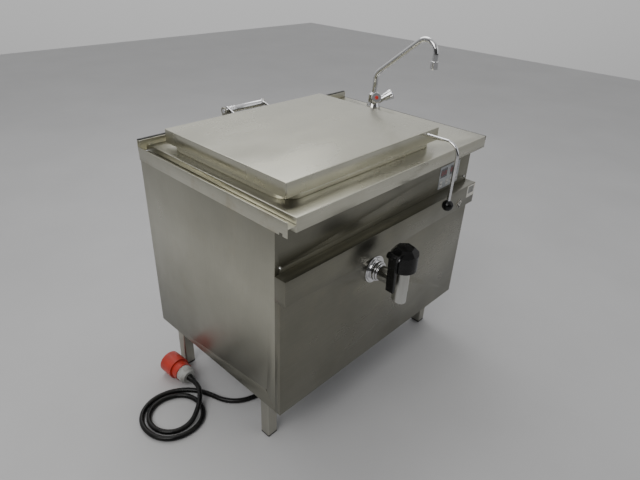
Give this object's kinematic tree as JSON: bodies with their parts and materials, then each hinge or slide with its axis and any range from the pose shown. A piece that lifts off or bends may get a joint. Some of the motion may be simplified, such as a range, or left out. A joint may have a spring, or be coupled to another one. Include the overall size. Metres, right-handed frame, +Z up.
{
  "type": "boiling kettle",
  "caption": "Electric soup kettle: floor-standing steel cabinet with a jacketed pan, hinged lid, front drain cock, swivel mixer tap and power cord.",
  "frame": {"origin": "on the floor under the middle of the whole object's bounding box, tap included, cord left out", "axes": "+Z up, -Y the front with the drain cock and controls, +X to the right seen from the front"},
  "size_m": [1.3049, 0.833, 1.2089],
  "materials": {
    "steel_cabinet": "brushed",
    "steel_worktop": "satin",
    "steel_lid": "satin",
    "steel_inner": "satin",
    "steel_galvanised": "satin",
    "chrome": "polished",
    "steel_leg": "satin",
    "black_plastic": "gloss",
    "black_matte": "matte",
    "black_rubber": "matte",
    "gasket_rubber": "matte",
    "cord_rubber": "satin",
    "wool": "fibrous",
    "element_metal": "oxidised",
    "brass": "satin",
    "foil_grey": "satin",
    "display_glass": "gloss",
    "key_light": "satin",
    "housing_plastic": "matte",
    "label_white": "satin",
    "terminal_plastic": "matte",
    "contactor_plastic": "matte",
    "plug_red": "satin",
    "plug_grey": "satin",
    "pin_brass": "polished"
  },
  "bodies": {
    "cabinet": {"base_tray": "steel_galvanised", "side_panel_left": "steel_cabinet", "side_panel_right": "steel_cabinet", "rear_panel": "steel_galvanised", "lower_front_panel": "steel_cabinet", "front_rail": "steel_cabinet", "fascia_panel": "steel_cabinet", "control_foil": "foil_grey", "display_windows": "display_glass", "control_housing": "housing_plastic", "panel_screws": "chrome", "worktop": "steel_worktop", "upstand": "steel_worktop", "edge_seals": "black_rubber", "coupling_rail": "steel_worktop", "label_plates": "label_white", "leg_front_left": "steel_leg", "leg_front_right": "steel_leg", "leg_rear_left": "steel_leg", "leg_rear_right": "steel_leg", "feet": "black_matte", "pan_rim": "steel_worktop", "kettle_pan": "steel_inner", "steam_jacket": "steel_inner", "insulation": "wool", "heating_elements": "element_metal", "relief_valve": "brass", "contactor": "contactor_plastic", "terminal_block": "terminal_plastic", "drain_pipe": "chrome", "wall_flange": "chrome", "drain_nut": "chrome", "valve_body": "chrome", "outlet_tube": "steel_leg", "hinge_axle": "chrome", "hinge_brackets": "steel_leg", "tap_body": "chrome", "cable_gland": "black_matte", "plug_nut": "plug_grey", "plug_body": "plug_red", "plug_pins": "pin_brass", "power_cable": "cord_rubber"},
    "lid": {"lid_shell": "steel_lid", "lid_liner": "steel_inner", "lid_gasket": "gasket_rubber", "lid_lever_rod": "chrome", "ball_knob": "black_plastic", "hinge_arms": "chrome"},
    "drain_handle": {"valve_plug": "brass", "valve_cap": "black_plastic", "lever_pin": "chrome"},
    "drain_grip": {"drain_lever": "black_plastic"},
    "tap_spout": {"spout": "chrome", "aerator": "chrome"},
    "hot_knob": {"tap_knob_hot": "chrome"},
    "cold_knob": {"tap_knob_cold": "chrome"},
    "key_body_1": {"key_1": "key_light"},
    "key_body_2": {"key_2": "key_light"},
    "key_body_3": {"key_3": "key_light"},
    "key_body_4": {"key_4": "key_light"}
  },
  "joints": [
    {"name": "lid_hinge", "type": "hinge", "parent": "cabinet", "child": "lid", "pos_m": [-0.099, 0.3905, 0.96], "axis": [-1, 0, 0], "range_deg": [0, 90]},
    {"name": "drain_turn", "type": "hinge", "parent": "cabinet", "child": "drain_handle", "pos_m": [-0.097, -0.3745, 0.6], "axis": [0, 0, 1], "range_deg": [0, 90]},
    {"name": "grip_fold", "type": "hinge", "parent": "drain_handle", "child": "drain_grip", "pos_m": [-0.15137, -0.3707, 0.681], "axis": [0.0698, 0.9976, 0], "range_deg": [0, 90]},
    {"name": "spout_swivel", "type": "hinge", "parent": "cabinet", "child": "tap_spout", "pos_m": [0.451, 0.2155, 1], "axis": [0, 0, 1], "range_deg": [-95, 90]},
    {"name": "hot_knob_turn", "type": "hinge", "parent": "cabinet", "child": "hot_knob", "pos_m": [0.451, 0.2155, 0.918], "axis": [-0.6184, -0.6184, 0.4848], "range_deg": [0, 270]},
    {"name": "cold_knob_turn", "type": "hinge", "parent": "cabinet", "child": "cold_knob", "pos_m": [0.451, 0.2155, 0.918], "axis": [0.6184, -0.6184, 0.4848], "range_deg": [0, 270]},
    {"name": "key_press_1", "type": "slide", "parent": "cabinet", "child": "key_body_1", "axis": [0, 1, 0], "range_m": [0, 0.001], "stiffness_N_per_m": 400, "springref_m": -0.0005},
    {"name": "key_press_2", "type": "slide", "parent": "cabinet", "child": "key_body_2", "axis": [0, 1, 0], "range_m": [0, 0.001], "stiffness_N_per_m": 400, "springref_m": -0.0005},
    {"name": "key_press_3", "type": "slide", "parent": "cabinet", "child": "key_body_3", "axis": [0, 1, 0], "range_m": [0, 0.001], "stiffness_N_per_m": 400, "springref_m": -0.0005},
    {"name": "key_press_4", "type": "slide", "parent": "cabinet", "child": "key_body_4", "axis": [0, 1, 0], "range_m": [0, 0.001], "stiffness_N_per_m": 400, "springref_m": -0.0005}
  ]
}
